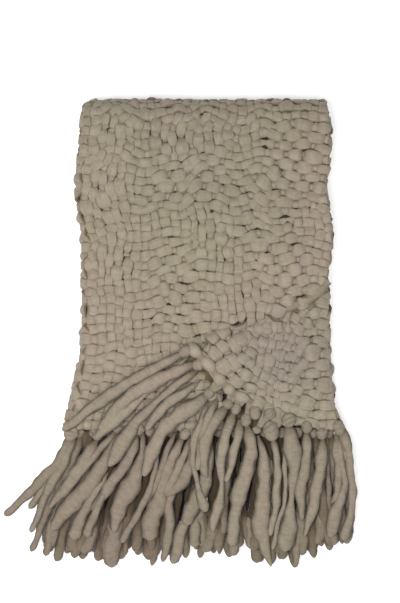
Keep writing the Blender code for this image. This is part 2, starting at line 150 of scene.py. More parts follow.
# Patches of the front where one set of yarns outdoes the other: place and half sizes in the view, whose
# yarns show (1 those that run up, -1 across), and how wide both are
PATCHES = [
    (115, 126, 21, 20, 0.9, 0.85, 1.1), (179, 141, 26, 17, 0.8, 0.9, 1.1),
    (110, 190, 21, 26, 1.0, 0.85, 1.3), (198, 221, 14, 19, 0.7, 0.75, 1.0),
    (218, 250, 22, 22, 0.8, 0.75, 1.1), (113, 262, 19, 22, 0.8, 0.85, 1.2),
    (222, 307, 17, 19, 0.8, 0.8, 1.1), (251, 300, 12, 19, 0.9, 1.1, 1.3),
    (275, 230, 14, 14, 0.5, 1.2, 1.1), (122, 322, 14, 14, 0.5, 1.0, 1.0),
    (218, 108, 57, 12, -0.9, 1.1, 0.9), (198, 182, 48, 24, -1.0, 1.15, 0.9),
    (301, 139, 31, 31, -1.0, 1.3, 1.2), (262, 245, 28, 24, -0.9, 1.15, 1.1),
    (179, 252, 24, 17, -0.8, 1.1, 1.0), (191, 303, 31, 36, -1.0, 1.2, 1.2),
    (285, 291, 26, 26, -0.8, 1.1, 1.2), (129, 158, 22, 12, -0.6, 1.1, 0.9),
    (146, 202, 14, 12, -0.5, 1.0, 1.0), (105, 365, 16, 20, -0.3, 1.2, 1.2),
    (285, 187, 38, 24, -0.8, 1.15, 1.0), (290, 258, 26, 18, -0.8, 1.15, 1.0),
    (230, 358, 28, 34, -0.9, 1.0, 1.3), (264, 352, 13, 26, 0.9, 1.15, 0.9),
    (312, 372, 26, 46, -0.8, 1.2, 1.15),
]

# Strands that can be told apart: widths from root to tip and the places they pass, in the view
FLAP_STRANDS = [
    ((7, 11, 12, 11, 9), [(186, 351), (150, 371), (115, 391), (63, 430)]),
    ((4, 5, 6, 14, 9), [(189, 356), (150, 390), (124, 412), (110, 425), (96, 437)]),
    ((8, 13, 15, 13, 9), [(197, 362), (175, 372), (150, 384), (122, 403), (100, 430)]),
    ((6, 9, 7, 12, 16, 8), [(197, 370), (165, 394), (140, 418), (124, 440), (109, 466)]),
    ((6, 9, 11, 7), [(203, 379), (186, 391), (161, 409), (147, 430)]),
    ((8, 15, 16, 15, 14, 8), [(210, 392), (196, 404), (171, 421), (157, 441), (143, 476)]),
    ((6, 8, 7, 5, 13), [(210, 400), (197, 432), (193, 455), (196, 480), (206, 512)]),
    ((6, 9, 10, 6), [(218, 397), (208, 418), (201, 443), (198, 470)]),
    ((9, 12, 12, 11, 5), [(228, 405), (212, 425), (205, 445), (203, 465), (207, 478)]),
    ((9, 11, 11, 5, 12, 6), [(234, 412), (223, 443), (221, 471), (221, 493), (212, 533)]),
    ((8, 9, 8, 6), [(240, 420), (237, 440), (231, 465), (226, 482)]),
    ((10, 14, 15, 13, 12), [(247, 426), (251, 450), (245, 478), (237, 503), (232, 546)]),
    ((5, 12, 16, 16, 4), [(258, 436), (264, 460), (264, 495), (261, 528), (271, 569)]),
    ((6, 8, 8, 6), [(272, 436), (277, 460), (277, 500), (270, 538)]),
    ((12, 17, 12, 6, 17, 18), [(288, 424), (292, 443), (294, 466), (292, 500), (286, 552)]),
    ((4, 5, 5, 6), [(284, 440), (286, 493), (280, 521), (273, 552)]),
    ((8, 11, 11, 6), [(307, 430), (306, 464), (301, 493), (303, 522)]),
    ((8, 12, 13, 10, 4), [(323, 438), (321, 464), (317, 490), (313, 510), (305, 538)]),
    ((7, 10, 9, 5), [(336, 434), (339, 464), (338, 490), (334, 505)]),
    ((8, 8, 6, 12, 14), [(340, 429), (346, 450), (350, 471), (340, 503), (331, 538)]),
    ((9, 9, 8, 8, 12), [(343, 427), (349, 455), (353, 490), (351, 520), (344, 541)]),
    ((6, 9, 8, 6), [(337, 434), (341, 460), (346, 484), (344, 506)]),
]
TOP_STRANDS = [
    ((10, 11, 10, 8), [(71, 434), (60, 460), (38, 484), (4, 517)]),
    ((9, 11, 8, 6), [(74, 436), (62, 464), (47, 491), (30, 534)]),
    ((8, 9, 7), [(72, 434), (52, 472), (28, 510)]),
    ((8, 14, 11, 5), [(97, 440), (80, 467), (67, 486), (48, 509)]),
    ((7, 7, 9, 8), [(117, 430), (100, 450), (77, 476), (60, 498)]),
    ((6, 12, 18, 18, 10), [(118, 432), (104, 462), (86, 489), (67, 509), (50, 531)]),
    ((6, 10, 13), [(110, 470), (90, 500), (71, 540)]),
    ((5, 8, 10), [(112, 480), (96, 510), (86, 538)]),
    ((8, 13, 12, 10, 6), [(137, 432), (129, 457), (114, 480), (100, 500), (89, 512)]),
    ((5, 9, 18, 18, 8), [(143, 432), (141, 460), (129, 489), (119, 508), (113, 534)]),
    ((5, 6, 7, 8), [(158, 440), (151, 486), (136, 517), (121, 544)]),
    ((8, 10, 9, 7), [(184, 436), (171, 460), (160, 489), (150, 510)]),
    ((6, 9, 10), [(190, 438), (178, 470), (165, 494)]),
    ((6, 12, 13, 8), [(195, 440), (189, 467), (179, 486), (166, 496)]),
    ((6, 14, 18, 16), [(165, 470), (159, 500), (151, 521), (150, 541)]),
    ((7, 10, 10, 6), [(175, 480), (169, 505), (169, 529), (163, 564)]),
    ((7, 9, 14, 17, 12), [(212, 440), (208, 470), (200, 493), (191, 511), (187, 526)]),
    ((6, 12, 11), [(190, 510), (180, 536), (174, 565)]),
    ((8, 12), [(197, 510), (194, 547)]),
]
MIDDLE_STRANDS = [
    ((8, 10, 7), [(60, 500), (50, 530), (44, 558)]),
    ((10, 18, 18), [(120, 500), (112, 540), (110, 569)]),
    ((10, 13, 10), [(240, 480), (235, 530), (235, 558)]),
    ((8, 10, 6), [(300, 500), (298, 540), (296, 568)]),
    ((8, 10, 9, 11), [(341, 434), (347, 470), (351, 515), (348, 546)]),
    ((8, 10, 9), [(332, 445), (340, 490), (341, 535)]),
    ((10, 12, 10), [(195, 470), (199, 505), (202, 548)]),
    ((8, 9, 7), [(70, 455), (52, 495), (36, 536)]),
    ((9, 11, 8), [(78, 465), (62, 505), (49, 549)]),
    ((10, 13, 12), [(215, 500), (213, 530), (205, 553)]),
    ((10, 14, 10), [(255, 500), (252, 530), (250, 550)]),
    ((8, 11, 12), [(320, 500), (322, 530), (318, 545)]),
    ((8, 12, 10), [(95, 520), (88, 545), (80, 553)]),
]
MORE_TOP_STRANDS = [
    ((5, 7, 7, 5), [(175, 433), (167, 452), (157, 480), (145, 507)]),
    ((5, 6, 7, 5), [(181, 436), (174, 460), (164, 484), (152, 508)]),
]
MORE_MIDDLE_STRANDS = [
    ((8, 11, 11, 8), [(231, 436), (227, 470), (224, 500), (223, 537)]),
    ((7, 10, 11, 8), [(311, 440), (310, 470), (309, 505), (309, 535)]),
    ((7, 9, 10, 7), [(268, 440), (271, 470), (273, 505), (279, 540)]),
    ((8, 11, 9), [(303, 495), (303, 530), (303, 557)]),
]
STRAND_RUNS = (
    ("fringe_flap", FLAP_STRANDS),
    ("fringe_top_front", TOP_STRANDS),
    ("fringe_middle_front", MIDDLE_STRANDS),
    ("fringe_top_front", MORE_TOP_STRANDS),
    ("fringe_middle_front", MORE_MIDDLE_STRANDS),
)

# Knots of the two upper plies: place and width in the view
KNOTS = {
    "fringe_flap": [
        (186, 351, 11), (199, 364, 11), (209, 393, 10), (228, 404, 10), (236, 409, 9), (246, 420, 10),
        (255, 413, 11), (257, 430, 8), (270, 414, 12), (271, 431, 15), (289, 420, 14), (307, 427, 10),
        (322, 434, 10), (339, 428, 11),
    ],
    "fringe_top_front": [
        (71, 433, 13), (97, 436, 9), (117, 428, 10), (138, 429, 12), (150, 431, 9), (164, 432, 8),
        (185, 434, 10), (195, 439, 9),
    ],
}
KNOT_LIFT = 0.0045  # of a knot above its ply's middle
KNOT_FLAT = 0.0085  # half its height at most
KNOT_SHADE, TURN_SHADE = 0.30, 0.85  # painted shade: how dark the clefts of its core and of the turn round it are
KNOT_LIGHT = 1.12  # and painted light: how light both are above, against the fringe wool's painted shade
TURN_SIDES = 10
KNOT_FULLER = 1.15  # than its width in the view
NEAR_KNOT = 0.020  # a strand that begins this near to a knot hangs from it

# The stretches of fringe from the floor up: node, seed, how light its strands are painted (painted shade
# below, painted light above), and for the lower ones the lean of the first and last strand in degrees to
# the left, and length
STRETCHES = [
    ("fringe_outer_back", 30, 0.09, 12, -3, 0.212),
    ("fringe_inner_back", 31, 0.10, 17, -1, 0.221),
    ("fringe_middle_back", 32, 0.12, 14, -4, 0.226),
    ("fringe_middle_front", 33, 0.20, 19, -5, 0.218),
    ("fringe_top_front", 40, 1.08),
    ("fringe_flap", 41, 1.18),
]
MIDDLE_LAYER, TOP_LAYER, FLAP_LAYER = 3, 4, 5
FLOOR_EDGES = (-0.222, 0.222)  # of the stretch on the floor
LOWER_TASSELS = 17
TIPS = (  # how long the lower strands are across the cloth: place, share of their length
    (0.0, 0.18, 0.28, 0.38, 0.50, 0.66, 0.75, 0.85, 0.95, 1.0),
    (1.0, 1.00, 0.94, 1.00, 0.94, 0.94, 1.03, 1.00, 0.90, 0.89),
)
OUTER_PAINTED_LIGHT = 0.95  # how light the outermost tassels of the lower stretches are painted, less deep in painted shade
TRACED_PAINTED_LIGHT = 0.94  # and traced strands at least
TIP_PAINTED_LIGHT = 0.78  # and tips at least
CROSSING = (0.015, 0.075)  # where the flap's fringe crosses onto the top panel's, across
TIP_START = 0.94  # share of a strand where its tip begins to round off
STRAND_SHARES = np.concatenate([np.linspace(0, TIP_START, 30), [0.96, 0.975, 0.986, 0.993, 0.998, 1.0]])
STRAND_SIDES = 14
WANDER, WANDER_SPANS = 0.0014, (0.09, 0.05)  # of a strand from its line, and over what lengths
STRAND_SLUB, STRAND_SPANS = 0.17, (0.095, 0.047, 0.026)  # how unevenly thick it is, and over what lengths
STRAND_FOLDS = ((2, 0.07), (3, 0.07), (5, 0.05))  # how many to a turn round it, and how deep
FOLD_SPANS = (0.15, 0.06)  # over what lengths they turn
ROOT_DEPTH = 0.013  # of a strand that comes out from beneath others
STACKED = 0.0016  # how far each of three traced strands in turn lies above the one before
TASSEL_IN = 0.012  # the outermost tassels of the lower stretches from their ends
STRAND_FLAT = 0.004  # half the height of a strand that lies on its ply's middle
STRAND_ROUND = 0.86  # half its height as a share of half its width, at most
STRAND_BASE, STRAND_GROWS = 0.0034, 0.28  # and at most this with this share of half its width
ROOT_RUN, ROOT_SHARE = 0.040, 0.22  # how far a hidden root rises, and what share of a strand its knot lifts
TIP_RUN = 0.0605  # share of a strand that its tip takes
TIP_LIGHT = (0.62, 0.34)  # from which share on a strand's painted shade lifts to the tip's, and over what share

VIEW_WIDE, VIEW_HIGH = 400, 603
VIEW_SCALE = 0.00167  # metres to a point of the view
VIEW_ZERO = (205.5, 430.0)  # the point of the view at the plan's zero


def plan(x, y):
    """The plan place at a point of the view."""
    return (x - VIEW_ZERO[0]) * VIEW_SCALE, (VIEW_ZERO[1] - y) * VIEW_SCALE


def smooth(share):
    """A soft step from 0 to 1."""
    share = np.clip(share, 0.0, 1.0)
    return share * share * (3 - 2 * share)


def together(q, s):
    """Two grids of places brought to one shape."""
    return np.broadcast_arrays(np.asarray(q, float), np.asarray(s, float))


def run_along(path):
    """How far along a path its points are."""
    return np.concatenate([[0], np.cumsum(np.linalg.norm(np.diff(path, axis=0), axis=1))])


def outside(x, y, polygon):
    """How far places lie outside a polygon, less than 0 inside it."""
    x, y = together(x, y)
    inside = np.zeros(x.shape, bool)
    nearest = np.full(x.shape, np.inf)
    for (ax, ay), (bx, by) in zip(polygon, polygon[1:] + polygon[:1]):
        run, rise = bx - ax, by - ay
        if rise:
            inside ^= ((ay > y) != (by > y)) & (x < ax + (y - ay) * run / rise)
        share = np.clip(((x - ax) * run + (y - ay) * rise) / (run * run + rise * rise), 0, 1)
        nearest = np.minimum(nearest, np.hypot(x - ax - share * run, y - ay - share * rise))
    return np.where(inside, -nearest, nearest)


def edge(up, side):
    """Where the cloth's outline is on one side."""
    return np.interp(up, OUTLINE[:, 0], OUTLINE[:, side])


def top_level(x, y):
    """Height of the top panel above the axis of the far fold."""
    return MIDDLE_LEVEL + STEP * (1 - smooth(outside(x, y, TOP_ON_INNER) / TOP_FALL))


def inner_level(x, y):
    """Height of the inner panel and its flap above the axis."""
    level = MIDDLE_LEVEL + STEP * (1 - smooth(outside(x, y, FLAP_ON_TOP) / FLAP_FALL))
    for across, up, half_width, half_length, height in FLAP_SWELLS:
        out = np.hypot((x - across) / half_width, (y - up) / half_length)
        level = level + height * np.maximum(0, 1 - out * out) ** 2
    return level


def left_fold(up):
    """Where the top panel turns down into its left-hand fold."""
    left = edge(up, LEFT)
    return left + (top_level(left + PLY, up) - BOTTOM_LEVEL + PLY) / 2


def right_fold(up):
    """Where the inner panel turns down into its right-hand fold."""
    return edge(up, RIGHT) - (MIDDLE_LEVEL - BOTTOM_LEVEL + PLY) / 2


def folded(x, level, past, side):
    """Places and levels of a panel round its side fold, by how far past its beginning they are."""
    radius = (level - BOTTOM_LEVEL) / 2
    angle = np.clip(past / radius, 0, pi)
    beyond = np.maximum(past - pi * radius, 0)
    return x + side * radius * np.sin(angle) - side * beyond, level - radius * (1 - np.cos(angle))


def carried_over(x, level, s, radius):
    """Places of the cloth at a length s from the hem: the front, the turn at the far fold, the back."""
    turn = np.clip((s - AXIS_Y) / radius, 0, pi)
    back = np.clip((s - AXIS_Y - pi * radius) / AXIS_Y, 0, None)
    drawn = 1 + (FOLD_DRAW - 1) * np.sin(turn)
    inset = 1 - BACK_INSET / OUTLINE[-1, 2] * smooth(back / INSET_RUN)
    spread = 1 + (BACK_SPREAD - 1) * smooth(back * back)
    y = np.where(back > 0, AXIS_Y * (1 - back), np.minimum(s, AXIS_Y) + level * np.sin(turn))
    return np.stack([x * drawn * inset * spread, y, AXIS_Z + level * np.cos(turn)], axis=-1)


def rolled_under(points, polygon, radius):
    """Points of a panel, with its edge along a polygon rolled down and under."""
    x, y, z = points[..., 0], points[..., 1], points[..., 2]
    tiny = 1e-4
    inward = outside(x, y, polygon)
    slope_x = (outside(x + tiny, y, polygon) - outside(x - tiny, y, polygon)) / 2 / tiny
    slope_y = (outside(x, y + tiny, polygon) - outside(x, y - tiny, polygon)) / 2 / tiny
    size = np.maximum(np.hypot(slope_x, slope_y), 0.2)
    angle = np.clip((radius - inward) / radius, 0, pi)
    moved = inward - np.where(angle > 0, radius - radius * np.sin(angle), inward)
    rolled = [x - slope_x / size * moved, y - slope_y / size * moved, z - radius * (1 - np.cos(angle))]
    return np.stack(rolled, axis=-1)


def flat_top(q, up):
    """How far across the plan the top panel's places lie before they are rolled or folded."""
    right, fold = edge(up, RIGHT), left_fold(np.clip(up, 0, AXIS_Y))
    return right + (fold - right) * q / PANEL


def top_cloth(q, s):
    """The top panel: q from its free edge over the left-hand fold, s from the front hem to the back."""
    q, s = together(q, s)
    up = np.clip(s, 0, AXIS_Y)
    right, fold = edge(up, RIGHT) - PLY / 4, left_fold(up)
    x = right + (fold - right) * np.minimum(q, PANEL) / PANEL
    x, level = folded(x, top_level(x, up), q - PANEL, -1)
    points = carried_over(x, level, s, TOP_LEVEL)
    rolled = rolled_under(points, NOT_TOP, ROLL)
    return np.where(((s < AXIS_Y) & (q < PANEL))[..., None], rolled, points)


def flat_inner(e, s):
    """Plan places of the inner panel before they are rolled, folded or pulled: its warps lean."""
    hem = np.array([(right_fold(0.0), 0.0)] + FLAP_HEM[::-1])
    reach = run_along(hem)
    at = np.clip(e, 0, None) / FLAP_RUN * reach[-1]
    lean = np.radians(np.interp(e, *np.array(FLAP_LEAN).T))
    x = np.interp(at, reach, hem[:, 0]) + np.minimum(s, AXIS_Y) * np.sin(lean)
    return x, np.interp(at, reach, hem[:, 1]) + s * np.cos(lean)


def inner_cloth(e, s):
    """The inner panel: e from the right-hand fold along the flap's hem, less than 0 round the fold."""
    e, s = together(e, s)
    x, along = flat_inner(e, s)
    up = np.clip(along, 0, AXIS_Y)
    x = x + (right_fold(up) - right_fold(0.0)) * (1 - smooth(e / FLAP_PULL))
    x, level = folded(x, inner_level(x, up), -e, 1)
    points = carried_over(x, level, along, MIDDLE_LEVEL)
    rolled = rolled_under(points, NOT_INNER, INNER_ROLL)
    return np.where(((up < AXIS_Y) & (e > ROLL_FROM))[..., None], rolled, points)


def flat_hem(level, left_back, back):
    """A hidden ply near its hem: q across from the left, s in from the hem."""
    first = left_fold(0.0) if left_back is None else left_back
    share = (1 - BACK_INSET / OUTLINE[-1, 2]) * BACK_SPREAD * HIDDEN_WIDTH if back else 1.0
    height = AXIS_Z - level if back else AXIS_Z + level

    def cloth(q, s):
        q, s = together(q, s)
        x = (first + (right_fold(0.0) - first) * q / PANEL) * share
        return np.stack([x, s, np.full(x.shape, height)], axis=-1)

    return cloth


def drift(draw, where, spans):
    """A smooth random run of about -1 to 1 along a yarn."""
    return sum(np.sin(2 * pi * (where / span + draw.random())) for span in spans) / len(spans)


def patch_values(x, y):
    """Which set of yarns shows at plan places, and how wide the yarns of both are."""
    shows, warp, weft = np.zeros(x.shape), np.zeros(x.shape), np.zeros(x.shape)
    for across, down, wide, high, patch_shows, patch_warp, patch_weft in PATCHES:
        middle_x, middle_y = plan(across, down)
        out = ((x - middle_x) / (wide * VIEW_SCALE)) ** 2 + ((y - middle_y) / (high * VIEW_SCALE)) ** 2
        here = np.exp(-(out**1.5) / 1.5)
        shows += here * patch_shows
        warp += here * log(patch_warp)
        weft += here * log(patch_weft)
    return np.clip(1.25 * shows, -1, 1), np.exp(warp), np.exp(weft)


def slants(draw, x, y):
    """Which way floats turn at places, about -1 to 1, smoothly from one stretch to the next."""
    total = np.zeros(x.shape)
    for _ in range(5):
        way, span = draw.uniform(0, pi), draw.uniform(0.13, 0.24)
        total += np.sin(2 * pi * ((x * cos(way) + y * sin(way)) / span + draw.random()))
    return np.clip(total / 2.2, -1, 1)


def beneath_hem(middle, s):
    """How light the top panel's yarns are painted: painted shade beneath the flap's hem."""
    x, y = middle[:, 0], middle[:, 1]
    away = outside(x, y, FLAP) / HEM_REACH + np.maximum(y - HEM_TOP, 0) / HEM_FADE
    away = np.where((middle[:, 2] > AXIS_Z) & (s < AXIS_Y), away, 1)
    return HEM_SHADE + (1 - HEM_SHADE) * smooth(away)


def beneath_seam(middle):
    """How light the flap's yarns are painted: painted shade in under the top panel's edge."""
    below = np.interp(middle[:, 0], *np.array(SEAM[::-1]).T) - middle[:, 1]
    away = np.abs(below - 0.002) / SEAM_REACH + np.maximum(SEAM_LEFT - middle[:, 0], 0) / SEAM_FADE
    return SEAM_SHADE + (1 - SEAM_SHADE) * smooth(away)


def narrowed(half, middle):
    """Half widths of a yarn, less by the small openings of the front."""
    for gap in GAPS:
        away = np.hypot(*(middle[:, :2] - plan(*gap)).T)
        less = GAP_NARROWS * np.exp(-((away / GAP_REACH) ** 2))
        half = half * np.where(middle[:, 2] < AXIS_Z, 1, 1 - less)
    return half


class Weave:
    """The crossings of a piece of cloth: where they are, and how wide its two sets of yarns are."""

    def __init__(self, cloth, q_range, s_range, warps, wefts, seed, room=None, under=False, fold=None):
        self.draw = draw = np.random.default_rng(seed)
        self.cloth, self.under, self.fold = cloth, under, fold
        q_line, s_line = np.linspace(*q_range, 90), np.linspace(*s_range, 260)
        q_first, s_first = self.even(q_range, warps), self.even(s_range, wefts)
        a = np.array([drift(draw, s_line, SLUB_SPANS) for _ in range(warps)])
        b = np.array([drift(draw, q_line, SLUB_SPANS) for _ in range(wefts)])
        a, b = np.exp(SLUB * self.settled(a)), np.exp(SLUB * self.settled(b))
        if room is not None:
            a = a * self.patched(q_first[:, None], s_line[None], 1, 1.0) ** room
            b = b * self.patched(q_line[None], s_first[:, None], 2, 1.0) ** room
        q_at, a = self.packed(a, q_range)
        s_at, b = self.packed(b, s_range)
        q = np.repeat(q_first[:, None], wefts, axis=1)
        for _ in range(3):
            s = self.read(q.T, q_line, s_at).T
            q = self.read(s, s_line, q_at)
        q, s = q + draw.normal(0, SHIFTED, q.shape), s + draw.normal(0, SHIFTED, s.shape)
        self.q, self.s = q, s
        self.a, self.b = self.read(s, s_line, a), self.read(q.T, q_line, b).T
        shows = 0.0 if room is None else self.patched(q, s, 0, 0.0)
        loose = draw.normal(0, 1, q.shape)
        loose = sum((np.roll(loose, way, axis) for way in (1, -1) for axis in (0, 1)), start=loose)
        self.shows = np.clip(shows - ACROSS + UNEVEN * loose, -1.1, 1.1)
        self.slant = slants(draw, cloth(q, s)[..., 0], s)

    def patched(self, q, s, which, elsewhere):
        """What the patches give on the front, and a plain value elsewhere."""
        at = self.cloth(q, s)
        front = (at[..., 2] > AXIS_Z) & (s < AXIS_Y)
        return np.where(front, patch_values(at[..., 0], at[..., 1])[which], elsewhere)

    @staticmethod
    def read(places, line, yarns):
        """What every yarn has, known at the places of a line, at its own crossings."""
        return np.array([np.interp(at, line, values) for at, values in zip(places, yarns)])

    @staticmethod
    def settled(widths):
        """Uneven widths whose neighbours make up for most of the unevenness."""
        near = np.exp(-0.5 * ((np.arange(len(widths))[:, None] - np.arange(len(widths))) / NEAR) ** 2)
        near /= near.sum(axis=1, keepdims=True)
        return widths - (1 - LOOSE) * (near @ widths)

    @staticmethod
    def even(span, count):
        """Places of yarns side by side, all as wide."""
        return span[0] + (np.arange(count) + 0.5) / count * (span[1] - span[0])

    @staticmethod
    def packed(widths, span):
        """Places of yarns side by side that fill a span, and their widths brought to fit."""
        widths = widths * (span[1] - span[0]) / widths.sum(axis=0)
        return span[0] + np.cumsum(widths, axis=0) - widths / 2, widths

    def yarns(self, keep, warps, wefts):
        """Adds the tubes of both sets of yarns, the warps first."""
        for sign, tubes, width in ((1, warps, self.a), (-1, wefts, self.b)):
            grids = (keep, self.q, self.s, width, self.shows, self.slant)
            for k, (kept, *values) in enumerate(zip(*(grid if sign > 0 else grid.T for grid in grids))):
                kept = np.flatnonzero(kept)
                for run in np.split(kept, np.flatnonzero(np.diff(kept) > 1) + 1):
                    if len(run) > 1:
                        self.one(tubes, k, run, *values, sign)

    def one(self, tubes, k, run, q, s, a, shows, slant, sign):
        """One yarn over and under the crossings of a run."""
        places = np.column_stack([q[run], s[run]])
        first = places[0] + 0.5 * (places[0] - places[1])
        places = np.vstack([first, places, places[-1] + 0.5 * (places[-1] - places[-2])])
        at = np.linspace(0, len(places) - 1, (len(places) - 1) * STEPS + 1)
        places = bent(places, at)

        def along(first, middle, last):
            """Values at the crossings and beyond both ends, brought to every point of the yarn."""
            values = np.concatenate([[first], middle, [last]])
            return np.interp(at, np.arange(len(values)), values)

        over = np.concatenate([[END_DIP], np.where((k + run) % 2 == 0, 1.0, -1.0) * sign, [END_DIP]])
        cell = np.minimum(at.astype(int), len(over) - 2)
        up = over[cell] + (over[cell + 1] - over[cell]) * (1 - np.cos(pi * (at - cell))) / 2
        strong, turned = along(0, sign * shows[run], 0), along(0, slant[run], 0)
        stronger, weaker = np.maximum(strong, 0), np.maximum(-strong, 0)
        width = along(a[run[0]] * END_WIDTH, a[run], a[run[-1]] * END_WIDTH)
        plump = np.interp(at, np.arange(len(over)), self.draw.normal(0, LUMPY, len(over)))
        aside = SLANT * turned * (SLANT_LEAST + (1 - SLANT_LEAST) * np.abs(strong)) * over[cell]
        places[:, 0 if sign > 0 else 1] += aside * np.sin(pi * (at - cell))
        up = np.where(
            strong > 0,
            1 - 2 * ((1 - up) / 2) ** (1 + LONGER * stronger),
            2 * ((1 + up) / 2) ** (1 + LONGER * weaker) - 1,
        )
        height = RISE * up * (1 + 0.1 * strong) * (width / PITCH) ** 0.4 + LIFT * strong
        height = height + BULGE * plump / BULGE_AT * np.maximum(up, 0)
        middle, out = surfaced(self.cloth, places)
        fuller = 0.99 + 0.05 * up + PLUMP * stronger * up - LEANER * weaker + plump * (0.6 + 0.4 * up)
        half = width / 2 * fuller
        # Painted shade: darker beneath the top panel's edge on the flap, and beneath the flap's hem on the
        # top panel
        if self.under:
            light = beneath_seam(middle)
        else:
            light = beneath_hem(middle, places[:, 1])
            half = narrowed(half, middle)
        if self.fold is not None:
            by_fold = smooth(1 + self.fold(places[:, 0]) / FOLD_REACH)
            half = half * (1 + (WARP_FOLD_WIDER if sign > 0 else WEFT_FOLD_WIDER) * by_fold)
        half = np.maximum(half, THINNEST)
        thick = YARN * (width / PITCH) ** 0.5 * (1 + 0.16 * stronger - 0.16 * weaker)
        # painted shade where the yarn dives under the one it crosses
        light = (DIP_SHADE + (1 - DIP_SHADE) * smooth((up + 0.9) / 1.1)) * light
        middle = middle + out * height[:, None]
        tubes.tube(middle, out, half, np.minimum(thick, 1.1 * half), SIDES, shade=light, square=SQUARE)


def bent(points, at):
    """Places on a smooth line through points, counted along them."""
    points = np.asarray(points, float)
    cell = np.minimum(at.astype(int), len(points) - 2)
    t = (at - cell)[:, None]
    before, after = points[np.maximum(cell - 1, 0)], points[np.minimum(cell + 2, len(points) - 1)]
    first, last = points[cell], points[cell + 1]
    return 0.5 * (
        2 * first
        + (last - before) * t
        + (2 * before - 5 * first + 4 * last - after) * t**2
        + (3 * first - before - 3 * last + after) * t**3
    )


def surfaced(cloth, places):
    """Middle points of a cloth and their outward directions."""
    q, s = places[:, 0], places[:, 1]
    tiny = 0.0015
    along = cloth(q, s + tiny) - cloth(q, s - tiny)
    across = cloth(q + tiny, s) - cloth(q - tiny, s)
    out = np.cross(along, across)
    out /= np.maximum(np.linalg.norm(out, axis=1, keepdims=True), 1e-12)
    return cloth(q, s), out


def section_turns(sides):
    """Angles of a section's points, closer together at a yarn's sides."""
    if sides == SIDES:
        return np.radians([12, 45, 135, 168, 192, 225, 315, 348])
    return 2 * pi * (np.arange(sides) + 0.5) / sides


def added(name, data):
    """A new object of the scene."""
    piece = bpy.data.objects.new(name, data)
    bpy.context.collection.objects.link(piece)
    return piece


class Tubes:
    """Tubes gathered into one mesh."""

    def __init__(self, seed, cleft=SIDE_SHADE, soft=SIDE_SOFT):
        self.draw = np.random.default_rng(seed)
        self.cleft, self.soft = cleft, soft
        self.points, self.faces, self.marks, self.tones, self.shades = [], [], [], [], []
        self.count = 0

    def tube(self, path, up, half, thick, sides, folds=1.0, shade=1.0, square=1.0, cleft=None):
        """A closed tube round a path, half wide to each side and thick to the up side and under."""
        path = np.asarray(path, float)
        rows = len(path)
        half, thick, shade = (np.broadcast_to(values, rows) for values in (half, thick, shade))
        ahead = np.gradient(path, axis=0)
        ahead /= np.maximum(np.linalg.norm(ahead, axis=1, keepdims=True), 1e-9)
        side = np.cross(ahead, up)
        side /= np.maximum(np.linalg.norm(side, axis=1, keepdims=True), 1e-9)
        above = np.cross(side, ahead)
        turn = section_turns(sides)
        level, rise = (np.sign(part) * np.abs(part) ** square for part in (np.cos(turn), np.sin(turn)))
        ring = path[:, None] + side[:, None] * (level * half[:, None] * folds)[..., None]
        ring = ring + above[:, None] * (rise * thick[:, None] * folds)[..., None]
        # Painted shade: each point of the section darker the further its side turns from above, down to
        # cleft, times the shade given
        cleft = self.cleft if cleft is None else cleft
        self.shades.append((cleft + (1 - cleft) * smooth((rise - 0.1) / self.soft)) * shade[:, None])
        index = self.count + np.arange(rows * sides).reshape(rows, sides)
        after = np.roll(index, -1, axis=1)
        walls = np.stack([index[:-1], after[:-1], after[1:], index[1:]], axis=-1).reshape(-1, 4)
        caps = []
        for k in range(sides // 2 - 1):
            corners = [k, k + 1, sides - 2 - k, sides - 1 - k]
            caps += [index[0, corners[::-1]], index[-1, corners]]
        run = run_along(path) + self.draw.random() * 3
        round_run = 2 * pi * float(np.mean(half))
        u = np.arange(sides + 1) / sides * round_run
        low, high = run[:-1, None], run[1:, None]
        corners = ((u[:-1], low), (u[1:], low), (u[1:], high), (u[:-1], high))
        wall_marks = np.stack([np.stack(np.broadcast_arrays(*corner), -1) for corner in corners], axis=2)
        self.points.append(ring.reshape(-1, 3))
        self.faces += [walls, np.array(caps)]
        self.marks += [wall_marks.reshape(-1, 4, 2), np.zeros((len(caps), 4, 2))]
        self.tones.append(np.full(rows * sides, self.draw.uniform(-1, 1)))
        self.count += rows * sides

    def piece(self, name, material):
        """The mesh as a piece that rides on the throw."""
        points = np.concatenate(self.points) + SHIFT
        points[:, 2] = np.maximum(points[:, 2], 0.0)
        mesh = bpy.data.meshes.new(name)
        mesh.from_pydata(points, [], np.concatenate(self.faces), shade_flat=False)
        marks = mesh.uv_layers.new(name="yarn")
        marks.data.foreach_set("uv", np.concatenate(self.marks).ravel())
        values = {"tone": np.concatenate(self.tones)}
        values["shade"] = np.concatenate([part.ravel() for part in self.shades])
        for kind, (across, up, reach, _) in TINTS.items():
            away = np.hypot(points[:, 0] - SHIFT[0] - across, points[:, 1] - SHIFT[1] - up) / reach
            values[kind] = np.exp(-(away**2))
        for kind, value in values.items():
            mesh.attributes.new(kind, "FLOAT", "POINT").data.foreach_set("value", value)
        mesh.validate()
        mesh.materials.append(material)
        piece = added(name, mesh)
        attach(piece, "root")
        return piece


def strand_height(x, y, layer):
    """Height above the floor of the middle of a strand that lies on the layers below."""
    settled = smooth(-y / SETTLING)
    if layer == FLAP_LAYER:
        low, high = CROSSING
        layer = TOP_LAYER + smooth((high - x) / (high - low))
    lowest = PLY / 2 + (STRAND_FLAT - PLY / 2) * settled
    return lowest + layer * (STEP + (SETTLED_STEP - STEP) * settled)


